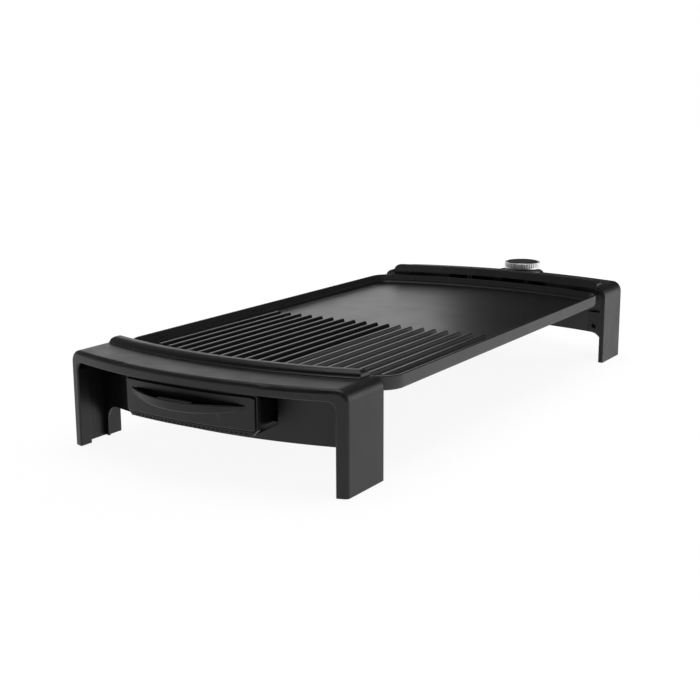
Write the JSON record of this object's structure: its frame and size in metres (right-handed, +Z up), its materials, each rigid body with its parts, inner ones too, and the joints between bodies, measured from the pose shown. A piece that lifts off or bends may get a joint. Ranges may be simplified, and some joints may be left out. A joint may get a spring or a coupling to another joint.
{
  "type": "electric table grill",
  "caption": "Long table-top griddle with a half-ribbed, half-smooth plate, bowed end stands, a pull-out grease tray and a plug-in thermostat with a knob.",
  "frame": {"origin": "middle of the whole object's footprint, on the table it stands on", "axes": "+Z up, +X across the plate's width, +Y along its length towards the thermostat; the grease tray is at -Y"},
  "size_m": [0.2864, 0.699, 0.0954],
  "materials": {
    "stand_plastic": "fine satin moulding, black",
    "frame_plastic": "fine satin moulding, black",
    "nonstick_plate": "casting with a black non-stick coating",
    "element_steel": "heat-darkened steel tube",
    "plated_pins": "nickel-plated pins",
    "ceramic": "plain white ceramic",
    "sheet_steel": "plain zinc-plated sheet",
    "cradle_sheet": "black-painted steel sheet",
    "screw_steel": "zinc-plated screws",
    "tray_plastic": "satin moulding, black",
    "tray_front_plastic": "satin moulding, black",
    "thermostat_plastic": "satin moulding, black",
    "block_plastic": "heat-resisting moulding, black",
    "contact_brass": "bare brass",
    "probe_steel": "bright steel rod",
    "lens_plastic": "clear red lens",
    "lamp_glass": "small neon lamp",
    "gland_rubber": "black rubber",
    "knob_metal": "bright silver, fluted",
    "knob_plastic": "black, slightly glossy"
  },
  "bodies": {
    "base": {"front_stand": "stand_plastic", "rear_stand": "stand_plastic", "front_frame": "frame_plastic", "rear_frame": "frame_plastic", "grill_plate": "nonstick_plate", "heating_element": "element_steel", "terminal_pins": "plated_pins", "terminal_insulators": "ceramic", "terminal_guard": "sheet_steel", "guard_screws": "screw_steel", "plate_screws": "screw_steel", "frame_screws": "screw_steel", "tray_cradle": "cradle_sheet", "cradle_screws": "screw_steel"},
    "tray": {"tray_pan": "tray_plastic", "tray_bezel": "tray_plastic", "tray_front": "tray_front_plastic", "tray_screws": "screw_steel"},
    "thermostat": {"thermostat_base": "thermostat_plastic", "thermostat_cover": "thermostat_plastic", "housing_screws": "screw_steel", "connector_block": "block_plastic", "socket_contacts": "contact_brass", "probe_rod": "probe_steel", "switch_block": "ceramic", "contact_strips": "contact_brass", "indicator_lens": "lens_plastic", "indicator_lamp": "lamp_glass", "cord_gland": "gland_rubber"},
    "knob": {"knob_shaft": "probe_steel", "knob_ring": "knob_metal", "knob_cap": "knob_plastic"}
  },
  "joints": [
    {"name": "tray_slide", "type": "slide", "parent": "base", "child": "tray", "axis": [0, -1, 0], "range_m": [0, 0.14]},
    {"name": "thermostat_slide", "type": "slide", "parent": "base", "child": "thermostat", "axis": [0, 1, 0], "range_m": [0, 0.14]},
    {"name": "knob_turn", "type": "hinge", "parent": "thermostat", "child": "knob", "pos_m": [0, 0.3245, 0.09], "axis": [0, 0, 1], "range_deg": [-270, 0]}
  ]
}
